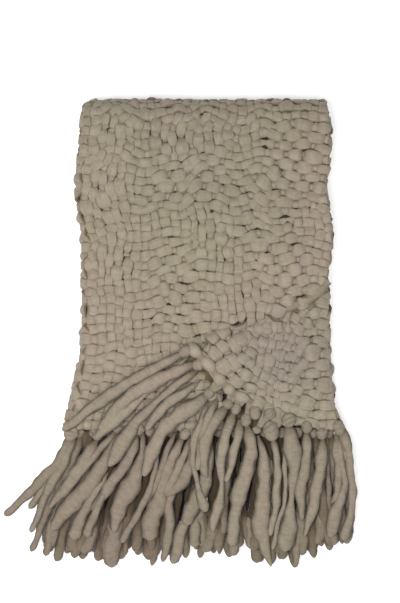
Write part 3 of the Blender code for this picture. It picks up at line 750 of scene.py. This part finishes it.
def add_strand(tubes, places, widths, root_z, layer, lift, tone):
    """One thick-and-thin strand from its knot, or without a root_z from beneath others, to its tip."""
    draw, share = tubes.draw, STRAND_SHARES
    line = bent(np.array(places, float), np.linspace(0, len(places) - 1, 60))
    reach = run_along(line)
    run = share * reach[-1]
    x, y = (np.interp(run, reach, column) for column in line.T)
    x = x + WANDER * drift(draw, run, WANDER_SPANS) * np.minimum(1, 4 * share)
    widths = np.array(widths, float)
    half = bent(widths[:, None], share * (len(widths) - 1))[:, 0] / 2
    half = half * (1 + STRAND_SLUB * drift(draw, run, STRAND_SPANS) * np.minimum(1, 6 * share))
    half = half * np.sqrt(np.clip(1 - (np.maximum(share - TIP_START, 0) / TIP_RUN) ** 2, 0, 1))
    half = np.maximum(half * (0.5 + 0.5 * smooth(run / 0.016)), 0.0006)
    thick = np.minimum(half * STRAND_ROUND, STRAND_BASE + STRAND_GROWS * half)
    rest = strand_height(x, y, layer) + lift + (thick - STRAND_FLAT) * (1 if layer == 0 else 0.4)
    if root_z is None:
        z = rest - ROOT_DEPTH * (1 - smooth(run / ROOT_RUN))
        half = half * (0.3 + 0.7 * smooth(run / 0.030))
    else:
        z = root_z + (rest - root_z) * smooth(share / ROOT_SHARE)
    turn = section_turns(STRAND_SIDES)
    folds = 1 + sum(
        depth * np.sin(count * turn + (pi * drift(draw, run, FOLD_SPANS) + 6 * draw.random())[:, None])
        for count, depth in STRAND_FOLDS
    )
    # Painted shade: it lifts towards the tip, out from beneath the others, and is darker at the root
    tone = tone + (max(tone, TIP_PAINTED_LIGHT) - tone) * smooth((share - TIP_LIGHT[0]) / TIP_LIGHT[1])
    shade = (0.55 + 0.45 * smooth((run - 0.004) / 0.022)) * tone
    path = np.stack([x, y, np.maximum(z, thick)], axis=1)
    tubes.tube(path, UP, half, thick, STRAND_SIDES, folds, shade)


def add_knot(tubes, centre, lean, size):
    """An overhand knot: a plump core with a turn round it. size is half its width."""
    draw = tubes.draw
    ahead = np.array([-sin(lean), -cos(lean), 0.0])
    side = np.array([cos(lean), -sin(lean), 0.0])
    along = np.sin(np.linspace(-0.5, 0.5, 13) * pi)
    half = size * (0.10 + 0.88 * np.sqrt(1 - along**2 * 0.999))
    path = np.array(centre) + (along * draw.uniform(0.8, 1.2) * size)[:, None] * ahead
    thick = np.minimum(half * 0.9, KNOT_FLAT)
    tubes.tube(path, UP, half, thick, STRAND_SIDES, shade=KNOT_LIGHT, cleft=KNOT_SHADE)
    tilt = draw.uniform(0.1, 0.6) * draw.choice([-1, 1])
    angle = np.linspace(0, 2 * pi, 21)
    across = side * cos(tilt) + ahead * sin(tilt)
    ring = np.array(centre) + ahead * draw.uniform(-0.35, 0.1) * size
    ring = ring + size * 0.66 * (np.cos(angle)[:, None] * across + 0.85 * np.sin(angle)[:, None] * UP)
    out = np.cos(angle)[:, None] * across + np.sin(angle)[:, None] * UP
    wide = size * 0.40 * (1 + 0.12 * drift(draw, angle, (3.1, 2.3)))
    tubes.tube(ring, out, wide, wide * 0.9, TURN_SIDES, shade=KNOT_LIGHT, cleft=TURN_SHADE)


def leads(tubes, hem, knots):
    """The ends of the warps, gathered from a line along the hem into each knot."""
    for x, y, z, half in knots:
        near = int(np.argmin(np.hypot(hem[:, 0] - x, hem[:, 1] - y)))
        for side in (-4, 0, 4):
            start = hem[np.clip(near + side, 0, len(hem) - 1)]
            away = start - (x, y, z)
            inner = start + away / max(np.linalg.norm(away), 1e-6) * 0.007
            end = np.array([x, y, z]) + away * 0.1
            path = bent(np.array([inner - (0, 0, 0.002), start, end]), np.linspace(0, 2, 9))
            wide = np.linspace(0.0050, half * 0.6, 9)
            # painted light on the leads, lifting them above the fringe wool's painted shade
            tubes.tube(path, UP, wide, wide * 0.8, TURN_SIDES, shade=np.linspace(1.3, 1.1, 9))


def matte(name, settings):
    """A new material with its shader's inputs set."""
    material = bpy.data.materials.new(name)
    material.use_nodes = True
    for key, value in settings.items():
        material.node_tree.nodes["Principled BSDF"].inputs[key].default_value = value
    return material


def wool(name, shade, wrinkle, deep=False):
    """Undyed wool roving: soft, matte, a little uneven in tone, with fine fibres along the yarn, and
    painted shade from the mesh's shade attribute and in its creases.
    """
    soft = {"Roughness": 0.92, "Specular IOR Level": 0.18, "Sheen Weight": 0.18, "Sheen Roughness": 0.55}
    material = matte(name, soft)
    nodes, links = material.node_tree.nodes, material.node_tree.links
    shader = nodes["Principled BSDF"]

    def made(kind, out, inputs):
        """One output of a new node, whose inputs are set or linked."""
        node = nodes.new(kind)
        for key, value in inputs.items():
            if isinstance(value, bpy.types.NodeSocket):
                links.new(value, node.inputs[key])
            else:
                node.inputs[key].default_value = value
        return node.outputs[out]

    def noise(scale, detail, vector):
        """An uneven value over places."""
        return made("ShaderNodeTexNoise", "Fac", {"Scale": scale, "Detail": detail, "Vector": vector})

    def ramp(fac, stops):
        """A value turned into colours, by the places and colours of stops."""
        node = nodes.new("ShaderNodeValToRGB")
        elements = node.color_ramp.elements
        for element, (at, colour) in zip(list(elements), (stops[0], stops[-1])):
            element.position, element.color = at, (*colour, 1)
        for at, colour in stops[1:-1]:
            elements.new(at).color = (*colour, 1)
        links.new(fac, node.inputs["Fac"])
        return node.outputs["Color"]

    def times(first, second):
        """Two colours multiplied."""
        node = nodes.new("ShaderNodeMix")
        node.data_type, node.blend_type = "RGBA", "MULTIPLY"
        node.inputs[0].default_value = 1.0
        links.new(first, node.inputs[6])
        links.new(second, node.inputs[7])
        return node.outputs[2]

    def told(kind):
        """The outputs of an attribute of the mesh."""
        node = nodes.new("ShaderNodeAttribute")
        node.attribute_name = kind
        return node.outputs

    place = nodes.new("ShaderNodeTexCoord").outputs["Object"]
    zone = noise(7.0, 2.0, place)
    # the dark sheet's colour, all painted shade
    if deep:
        links.new(ramp(zone, SHADE_SHEET_COLOURS), shader.inputs["Base Color"])
        return material
    marks = nodes.new("ShaderNodeUVMap")
    marks.uv_map = "yarn"

    def along(scale):
        """Places on the yarn, drawn out along it or across."""
        return made("ShaderNodeMapping", "Vector", {"Scale": scale, "Vector": marks.outputs["UV"]})

    fibres = noise(750.0, 3.0, along((1.0, 0.10, 1.0)))
    wrinkles = noise(210.0, 2.0, along((0.35, 1.0, 1.0)))
    spread = made("ShaderNodeMapRange", "Result", {"From Min": -1.0, "Value": told("tone")["Fac"]})
    dark = told("shade")
    # painted shade: the mesh's shade attribute darkens the colour, browner where deeper
    parts = [ramp(spread, YARN_TONES), dark["Color"], ramp(dark["Fac"], BROWNER)]
    for kind, (*_, tint) in TINTS.items():
        parts.append(ramp(told(kind)["Fac"], [(0.0, WHITE), (1.0, tint)]))
    # painted shade in the wrinkles' creases, a little lighter on their ridges
    crease_shade = [(0.36, (1 - 22 * wrinkle,) * 3), (0.50, WHITE), (0.64, (1 + 8 * wrinkle,) * 3)]
    parts += [ramp(noise(85.0, 3.0, place), MOTTLE), ramp(fibres, FIBRES), ramp(wrinkles, crease_shade)]
    colour = ramp(zone, [(at, tuple(np.multiply(base, shade))) for at, base in BASES])
    for part in parts:
        colour = times(colour, part)
    links.new(colour, shader.inputs["Base Color"])
    normal = made("ShaderNodeBump", "Normal", {"Strength": 0.6, "Distance": wrinkle, "Height": wrinkles})
    fine = {"Strength": 0.5, "Distance": 0.0004, "Height": fibres, "Normal": normal}
    links.new(made("ShaderNodeBump", "Normal", fine), shader.inputs["Normal"])
    return material


WHITE = (1.0, 1.0, 1.0)
BASES = [(0.36, (0.262, 0.2145, 0.166)), (0.50, (0.254, 0.2130, 0.160)), (0.66, (0.246, 0.2145, 0.155))]
# colours of the dark sheet in the cloth: painted shade between the yarns
SHADE_SHEET_COLOURS = [(0.35, (0.018, 0.013, 0.008)), (0.65, (0.026, 0.019, 0.012))]
YARN_TONES = [(0.0, (0.95, 0.95, 0.945)), (1.0, (1.05, 1.05, 1.055))]
BROWNER = [(0.10, (1.12, 0.88, 0.56)), (0.45, (1.07, 0.95, 0.74)), (0.92, WHITE)]  # painted shade turns browner where it is deeper, by the shade attribute
MOTTLE = [(0.3, (0.92, 0.91, 0.90)), (0.7, (1.06, 1.06, 1.06))]
FIBRES = [(0.3, (0.88, 0.88, 0.88)), (0.7, (1.08, 1.08, 1.08))]
TINTS = {  # where the colour turns: across, up, reach, and its tint there; the cool one is the wool's own tint, the green one a greener tone and painted shade darkening the top
    "cool": (0.130, 0.122, 0.075, (0.94, 0.93, 1.04)),
    "green_and_shade": (-0.018, 0.476, 0.110, (0.905, 0.95, 0.935)),
}
# The fringe's wool drawn darker and browner than the body's: painted shade among the strands
FRINGE_SHADE = (0.765, 0.75, 0.755)
ROVING_WRINKLE, FRINGE_WRINKLE = 0.0026, 0.0042  # how deep the wrinkles are, which also sets their painted shade
FLOOR_WHITE, FLOOR_GLOW, SKY_GLOW = 0.88, 0.42, 0.33
KEY_POWER, FILL_POWER = 36, 24

# Everything stands where the solid throw does
low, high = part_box("throw")
SHIFT = np.array([high[0] - THROW_RIGHT, high[1] - LENGTH, 0.0])

roving = wool("wool_roving", WHITE, ROVING_WRINKLE)
shaded_fringe_roving = wool("wool_fringe_shaded", FRINGE_SHADE, FRINGE_WRINKLE)
deep = wool("wool_shade_sheet", WHITE, 0, deep=True)


def core():
    """A thin dark sheet in the cloth, its colour painted shade seen between the yarns: the throw's own form
    drawn in.
    """
    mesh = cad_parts["throw"].data.copy()
    mesh.name = "cloth_shade_core"
    shape = bmesh.new()
    shape.from_mesh(mesh)
    bmesh.ops.remove_doubles(shape, verts=shape.verts, dist=1e-6)
    shape.normal_update()
    depth = (PLY - CORE) / 2
    drawn = []
    for point in shape.verts:
        drawn.append(point.co - point.normal * depth * min(point.calc_shell_factor(), SHARPEST))
    for point, place in zip(shape.verts, drawn):
        point.co = place
    shape.to_mesh(mesh)
    shape.free()
    mesh.materials.clear()
    mesh.materials.append(deep)
    mesh.update()
    piece = added("cloth_shade_core", mesh)
    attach(piece, "root")
    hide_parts("throw")
    return piece


def on_top(line):
    """A line of the plan at the height of the top panel's middle."""
    return np.column_stack([line, AXIS_Z + top_level(line[:, 0], line[:, 1])])


def weave_top(warps, wefts):
    """The top panel: its yarns, and the one rolled into its edge on the flap."""
    length = 2 * AXIS_Y + pi * TOP_LEVEL
    spans = (0, PANEL + FOLD_RUN), (0, length)
    top = Weave(top_cloth, *spans, 29, 72, 11, PATCH_ROOM, fold=lambda q: q - PANEL)
    away = outside(flat_top(top.q, top.s), top.s, NOT_TOP)
    keep = (top.s >= AXIS_Y) | (top.q > PANEL) | (away > -TOP_PAST)
    top.yarns(keep, warps, wefts)
    reach = np.linspace(0, 1, 50)
    line = on_top(bent(np.array(SEAM[: SPLIT + 2]), (SPLIT + 1) * reach) + EDGE_ASIDE)
    line[:, 2] += EDGE_LIFT - EDGE_SINK * smooth((reach - EDGE_SINKS_AT) / 0.40)
    lumps = EDGE_YARN * (0.92 + 0.10 * np.cos(2 * pi * reach * EDGE_LUMPS))
    lumps = lumps * smooth(3 * (1 - reach)) + END_HALF
    # drawn a little darker than the panel: painted shade
    warps.tube(line, UP, lumps, lumps, TURN_SIDES, shade=0.85)


def weave_inner(tubes):
    """The inner panel and its flap: the yarns that show, the hem's rope, and a yarn in the seam."""
    length = 2 * AXIS_Y + pi * MIDDLE_LEVEL
    spans = (-INNER_FOLD_RUN, FLAP_RUN), (0, length)
    inner = Weave(inner_cloth, *spans, 19, 69, 12, FLAP_PATCH_ROOM, True, lambda e: -e)
    x, y = flat_inner(inner.q, inner.s)
    keep = (y < AXIS_Y) & (outside(x, y, NOT_INNER) > -INNER_PAST)
    keep &= outside(x, y, NOT_TOP) < UNDER_SEAM
    keep |= inner.q < BY_FOLD
    inner.yarns(keep, tubes, tubes)
    run = np.linspace(*ROPE_RUN, 70)
    line, out = surfaced(inner_cloth, np.stack([run, np.full(run.size, ROPE_IN)], axis=1))
    swing = np.cos(2 * pi * run / ROPE_LUMP + 0.8 * np.sin(run * 60))
    lumps = ROPE * (0.84 + 0.22 * swing) * smooth((run - 0.145) / 0.03) + END_HALF
    # painted shade between the rope's lumps
    light = 0.72 + 0.33 * smooth(swing + 1)
    tubes.tube(line + out * ROPE_OUT, out, lumps, 0.95 * lumps, 12, shade=light)
    # the yarn in the seam's lower end is drawn darker, as painted shade in the gap
    line = on_top(np.array(SEAM[SPLIT + 2 :])) - (0, 0, SEAM_YARN[1])
    tubes.tube(bent(line, np.linspace(0, len(line) - 1, 30)), UP, *SEAM_YARN, SIDES, shade=0.7)


def weave_hems(tubes):
    """The hems of the hidden plies: level, left-hand end, whether on the back, seed."""
    for level, first, back, seed in (
        (BOTTOM_LEVEL, None, False, 21),
        (BOTTOM_LEVEL, None, True, 22),
        (MIDDLE_LEVEL, INNER_EDGE_TOP[0], True, 23),
    ):
        hem = Weave(flat_hem(level, first, back), (0, PANEL), (0, 3 * PITCH), 26, 3, seed)
        hem.yarns(np.ones(hem.q.shape, bool), tubes, tubes)


def hem_level(node, x, y):
    """Height of a ply's middle at a knot."""
    level = inner_level if node == "fringe_flap" else top_level
    return AXIS_Z + float(level(np.array(x), np.array(y)))


def tie_knots(node, tubes):
    """The knots of an upper ply, in line with the nearest strands. Gives their places and half widths."""
    ways = [places for own, rows in STRAND_RUNS for widths, places in rows if own == node]
    tied = []
    for across, down, wide in KNOTS[node]:
        x, y = plan(across, down)
        z, half = hem_level(node, x, y) + KNOT_LIFT, wide * VIEW_SCALE / 2
        (ax, ay), (bx, by) = min(ways, key=lambda way: hypot(way[0][0] - across, way[0][1] - down))[:2]
        add_knot(tubes, (x, y, z), atan2(ax - bx, by - ay), half * KNOT_FULLER)
        tied.append((x, y, z, half))
    return tied


def hang(tubes, node, widths, places, lift):
    """A traced strand, from the knot that it begins near to, where there is one."""
    places = [plan(*place) for place in places]
    widths = [width * VIEW_SCALE for width in widths]
    root_z = None
    for x, y, *_ in knots.get(node, []):
        if hypot(x - places[0][0], y - places[0][1]) < NEAR_KNOT:
            root_z = hem_level(node, *places[0])
    layer = list(strand_sets).index(node)
    add_strand(tubes, places, widths, root_z, layer, lift, max(STRETCHES[layer][2], TRACED_PAINTED_LIGHT))


def lower_stretch(tubes, layer, light, left_lean, right_lean, longest):
    """A lower stretch of fringe: the gathered hem, and tassels of a knot and two strands along it."""
    draw = tubes.draw
    z = PLY / 2 + layer * STEP
    first, last = (left_fold(0.0), right_fold(0.0)) if layer else FLOOR_EDGES
    across = np.linspace(first + 0.004, last - 0.004, 60)
    gathered = np.stack([across, np.full(60, -0.017), np.full(60, z - 0.003)], axis=1)
    wide = 0.015 * (1 + 0.15 * drift(draw, across, (0.05, 0.03)))
    # painted shade on the gathered hem: darker where buried among the tassels, lighter at its ends
    buried = smooth(np.minimum(across - first, last - across) / 0.040)
    tubes.tube(gathered, UP, wide, wide * 0.25, SIDES, shade=0.85 - 0.50 * buried)
    for k in range(LOWER_TASSELS):
        share = k / (LOWER_TASSELS - 1)
        x = first + TASSEL_IN + (last - first - 2 * TASSEL_IN) * share
        lean = left_lean + (right_lean - left_lean) * share
        # painted shade on the tassels: the inner ones darkest, the outermost lighter
        tone = OUTER_PAINTED_LIGHT + (light - OUTER_PAINTED_LIGHT) * smooth(min(share, 1 - share) / 0.16)
        add_knot(tubes, (x, -0.006, z), radians(lean), draw.uniform(0.0085, 0.0105))
        for side in (-1, 1):
            turned = lean + draw.uniform(-7, 7) - 2 * side
            length = longest * draw.uniform(0.84, 1.0) * np.interp(share, *TIPS)
            places = [np.array([x + side * 0.0045, -0.010])]
            for step in range(4):
                angle = radians(turned - 1.2 * step + draw.uniform(-4, 4))
                places.append(places[-1] - np.array([sin(angle), cos(angle)]) * length / 4)
            wide = draw.uniform(0.014, 0.025)
            thin = [draw.uniform(0.45, 0.9) for _ in range(5)]
            thin[0], thin[int(draw.integers(1, 5))] = 0.70, 1.0
            widths, lift = [wide * part for part in thin], draw.uniform(0, 0.002)
            add_strand(tubes, places, widths, z, layer, lift, tone)


cloth_shade_core = core()
warps, wefts, inner_yarns, hems = Tubes(1), Tubes(2), Tubes(3, FLAP_SIDE_SHADE), Tubes(4)
weave_top(warps, wefts)
weave_inner(inner_yarns)
weave_hems(hems)
woven = [
    warps.piece("weave_warps", roving),
    wefts.piece("weave_wefts", roving),
    inner_yarns.piece("weave_inner", roving),
    hems.piece("weave_hems", roving),
]

strand_sets = {}
for layer, (node, seed, *_) in enumerate(STRETCHES):
    strand_sets[node] = Tubes(seed, LOWER_SHADE if layer < MIDDLE_LAYER else STRAND_SHADE, STRAND_SOFT)
knots = {node: tie_knots(node, strand_sets[node]) for node in KNOTS}
strands = [(node, widths, places) for node, rows in STRAND_RUNS for widths, places in rows]
for number, (node, widths, places) in enumerate(strands):
    hang(strand_sets[node], node, widths, places, number % 3 * STACKED)
for node, cloth, width, count in (
    ("fringe_flap", inner_cloth, FLAP_RUN, 160),
    ("fringe_top_front", top_cloth, PANEL, 220),
):
    hem = np.stack([np.linspace(0.0, width, count), np.full(count, 0.003)], axis=1)
    leads(strand_sets[node], surfaced(cloth, hem)[0], knots[node])
for layer, (node, _, *form) in enumerate(STRETCHES[:TOP_LAYER]):
    lower_stretch(strand_sets[node], layer, *form)

for node, tubes in strand_sets.items():
    piece = tubes.piece("strands_" + node.replace("fringe_", ""), shaded_fringe_roving)
    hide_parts(node)


def floor():
    """A wide pale floor."""
    mesh = bpy.data.meshes.new("floor")
    mesh.from_pydata([(-6, -6, 0), (6, -6, 0), (6, 6, 0), (-6, 6, 0)], [], [range(4)])
    glow = {"Emission Color": (1, 1, 1, 1), "Emission Strength": FLOOR_GLOW}
    white = {"Base Color": (*[FLOOR_WHITE] * 3, 1), "Roughness": 0.9}
    mesh.materials.append(matte("floor_white", white | glow))
    piece = added("floor", mesh)
    piece.location = (0, 0, -0.0005)


def lamp(name, place, size, power):
    """A large soft lamp that shines on the throw."""
    light = bpy.data.lights.new(name, "AREA")
    light.shape, light.size, light.energy = "DISK", size, power
    piece = added(name, light)
    piece.location = place
    piece.rotation_mode = "QUATERNION"
    piece.rotation_quaternion = (Vector((0, -0.1, 0)) - Vector(place)).to_track_quat("-Z", "Y")


floor()
lamp("key", (-0.35, -0.1, 1.9), 0.9, KEY_POWER)
lamp("fill", (0.6, -0.9, 2.4), 1.6, FILL_POWER)
world = bpy.data.worlds.new("studio")
world.use_nodes = True
sky = world.node_tree.nodes["Background"].inputs
sky["Color"].default_value, sky["Strength"].default_value = (1, 1, 1, 1), SKY_GLOW
bpy.context.scene.world = world
bpy.context.scene.view_settings.view_transform = "Standard"

DISTANCE = 3.4
PLANE = 0.075  # height at which the view's scale holds
camera = bpy.data.cameras.new("camera")
camera.sensor_width = 36
camera.lens = 36 * DISTANCE / (VIEW_HIGH * VIEW_SCALE)
camera_piece = added("camera", camera)
centre = plan(VIEW_WIDE / 2, VIEW_HIGH / 2)
camera_piece.location = (centre[0] + SHIFT[0], centre[1] + SHIFT[1], PLANE + DISTANCE)
bpy.context.scene.camera = camera_piece
